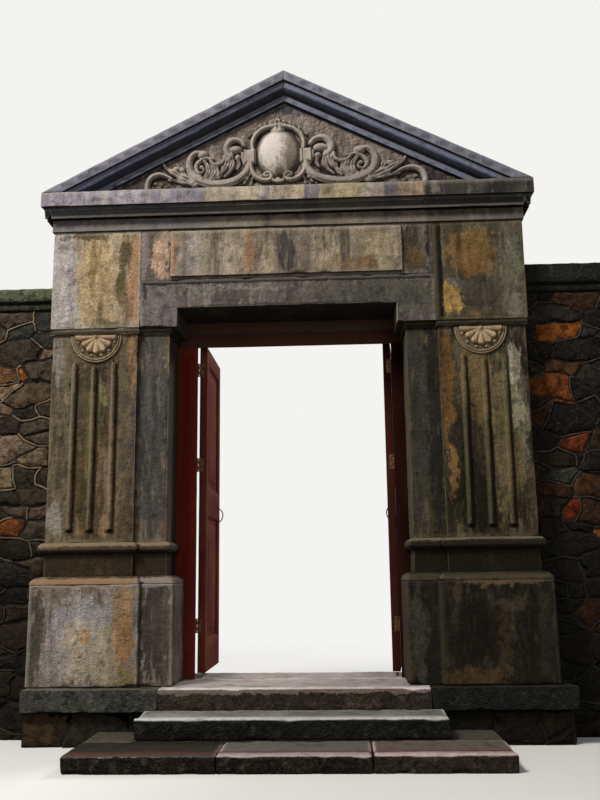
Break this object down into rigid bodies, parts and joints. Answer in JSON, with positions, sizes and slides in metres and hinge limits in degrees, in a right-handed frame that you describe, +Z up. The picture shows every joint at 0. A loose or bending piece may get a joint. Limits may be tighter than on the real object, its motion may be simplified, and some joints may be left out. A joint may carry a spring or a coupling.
{
  "type": "pedimented garden gateway",
  "caption": "Masonry garden gateway with pilastered piers, carved gable, hinged double timber doors, stone steps and rubble boundary walls.",
  "frame": {"origin": "on the ground under the threshold, at mid width of the piers, in the plane of the strip faces beside the passage", "axes": "+X to the right seen from the front, +Y through the gateway to the garden side, +Z up"},
  "size_m": [6, 2.1765, 4.986],
  "materials": {
    "render_stone": "weathered cement render with streaks and stains",
    "dark_render": "dark slate-coloured render, weathered",
    "cut_stone": "chisel-dressed granite slabs",
    "step_stone": "worn granite steps",
    "rubble": "rubble stones with raised pointing",
    "carved_stone": "carved stucco relief, weathered",
    "red_paint": "oxblood oil paint on timber, worn",
    "door_iron": "dulled brass hinges and pulls"
  },
  "bodies": {
    "gateway": {"left_footing": "rubble", "right_footing": "rubble", "step_core": "rubble", "left_plinth_course": "cut_stone", "right_plinth_course": "cut_stone", "threshold": "step_stone", "middle_step": "step_stone", "bottom_step": "step_stone", "side_stones": "step_stone", "left_pedestal": "render_stone", "right_pedestal": "render_stone", "left_pier_base": "render_stone", "right_pier_base": "render_stone", "left_pier": "render_stone", "right_pier": "render_stone", "rosettes": "carved_stone", "lintel": "dark_render", "left_frieze_block": "render_stone", "right_frieze_block": "render_stone", "frieze_panel": "render_stone", "plaque": "render_stone", "cornice": "render_stone", "gable_wall": "render_stone", "left_raking_cornice": "dark_render", "right_raking_cornice": "dark_render", "cartouche": "carved_stone", "left_scroll": "carved_stone", "right_scroll": "carved_stone", "left_wall": "rubble", "right_wall": "rubble", "left_coping": "cut_stone", "right_coping": "cut_stone", "left_jamb": "red_paint", "right_jamb": "red_paint", "door_head": "red_paint", "head_board": "red_paint", "frame_hinges": "door_iron"},
    "left_leaf": {"left_leaf_frame": "red_paint", "left_leaf_panels": "red_paint", "left_leaf_hinges": "door_iron", "left_pull_handle": "door_iron"},
    "right_leaf": {"right_leaf_frame": "red_paint", "right_leaf_panels": "red_paint", "right_leaf_hinges": "door_iron", "right_pull_handle": "door_iron"}
  },
  "joints": [
    {"name": "left_leaf_hinge", "type": "hinge", "parent": "gateway", "child": "left_leaf", "pos_m": [-0.7375, 0.458, 0], "axis": [0, 0, 1], "range_deg": [-90, 15]},
    {"name": "right_leaf_hinge", "type": "hinge", "parent": "gateway", "child": "right_leaf", "pos_m": [0.8035, 0.458, 0], "axis": [0, 0, -1], "range_deg": [-95, 10]}
  ]
}
